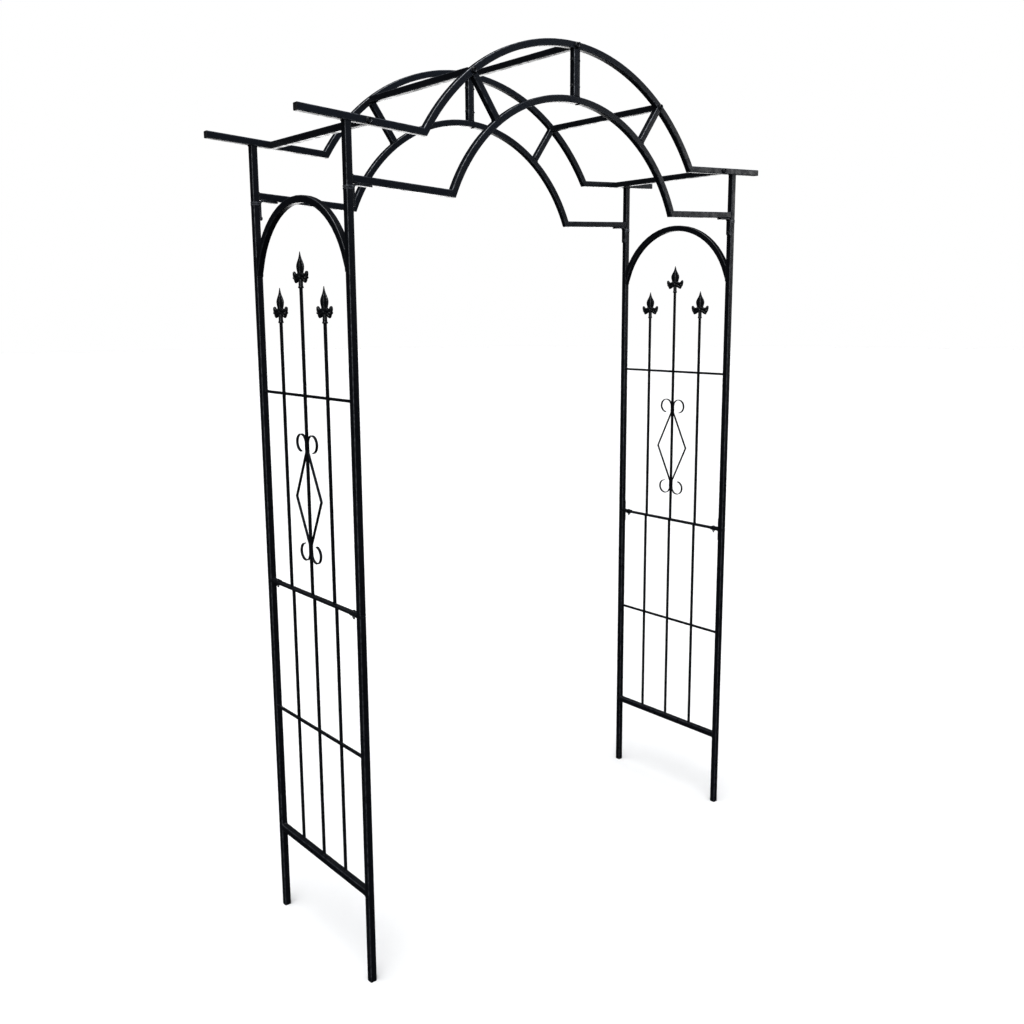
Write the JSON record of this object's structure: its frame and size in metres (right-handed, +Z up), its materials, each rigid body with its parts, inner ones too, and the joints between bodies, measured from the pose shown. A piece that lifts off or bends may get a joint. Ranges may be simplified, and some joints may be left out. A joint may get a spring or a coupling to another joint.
{
  "type": "metal trellis arch",
  "caption": "Walk-through garden arch of black square steel tube: two trellis panels with spear-tipped pickets and scrolls, and a double-hoop roof with purlins.",
  "frame": {"origin": "on the ground, midway between the four posts", "axes": "+X across the walkway, +Y to the back along the direction of walking, +Z up"},
  "size_m": [1.53, 0.426, 2.2],
  "materials": {
    "post_coat": "satin black powder coat with a faint blue cast",
    "rail_coat": "satin black powder coat with a faint blue cast",
    "bar_coat": "satin black powder coat with a faint blue cast",
    "casting_coat": "satin black powder coat with a faint blue cast",
    "scroll_coat": "satin black powder coat with a faint blue cast",
    "hoop_coat": "satin black powder coat with a faint blue cast",
    "strut_coat": "satin black powder coat with a faint blue cast",
    "purlin_coat": "satin black powder coat with a faint blue cast",
    "bracket_coat": "satin black powder coat with a faint blue cast",
    "fastener": "zinc-plated steel screws, nuts and washers, dulled",
    "end_cap": "black moulded plastic plugs"
  },
  "bodies": {
    "root": {"left_front_lower_post": "post_coat", "left_front_upper_post": "post_coat", "left_front_scroll": "scroll_coat", "left_front_corner_bracket": "bracket_coat", "left_back_lower_post": "post_coat", "left_back_upper_post": "post_coat", "left_back_scroll": "scroll_coat", "left_back_corner_bracket": "bracket_coat", "left_bottom_rail": "rail_coat", "left_lower_joint_strip": "rail_coat", "left_upper_joint_strip": "rail_coat", "left_lower_grille": "bar_coat", "left_upper_cross_rod": "bar_coat", "left_front_picket": "casting_coat", "left_centre_picket": "casting_coat", "left_back_picket": "casting_coat", "left_panel_arch": "rail_coat", "right_front_lower_post": "post_coat", "right_front_upper_post": "post_coat", "right_front_scroll": "scroll_coat", "right_front_corner_bracket": "bracket_coat", "right_back_lower_post": "post_coat", "right_back_upper_post": "post_coat", "right_back_scroll": "scroll_coat", "right_back_corner_bracket": "bracket_coat", "right_bottom_rail": "rail_coat", "right_lower_joint_strip": "rail_coat", "right_upper_joint_strip": "rail_coat", "right_lower_grille": "bar_coat", "right_upper_cross_rod": "bar_coat", "right_front_picket": "casting_coat", "right_centre_picket": "casting_coat", "right_back_picket": "casting_coat", "right_panel_arch": "rail_coat", "front_left_outer_hoop": "hoop_coat", "front_left_inner_hoop": "hoop_coat", "front_left_stub_post": "post_coat", "front_left_side_strut": "strut_coat", "front_right_outer_hoop": "hoop_coat", "front_right_inner_hoop": "hoop_coat", "front_right_stub_post": "post_coat", "front_right_side_strut": "strut_coat", "front_crown_strut": "strut_coat", "front_crown_plate": "strut_coat", "back_left_outer_hoop": "hoop_coat", "back_left_inner_hoop": "hoop_coat", "back_left_stub_post": "post_coat", "back_left_side_strut": "strut_coat", "back_right_outer_hoop": "hoop_coat", "back_right_inner_hoop": "hoop_coat", "back_right_stub_post": "post_coat", "back_right_side_strut": "strut_coat", "back_crown_strut": "strut_coat", "back_crown_plate": "strut_coat", "crown_purlin": "purlin_coat", "left_hoop_purlin": "purlin_coat", "left_arm_purlin": "purlin_coat", "right_hoop_purlin": "purlin_coat", "right_arm_purlin": "purlin_coat"}
  },
  "joints": []
}
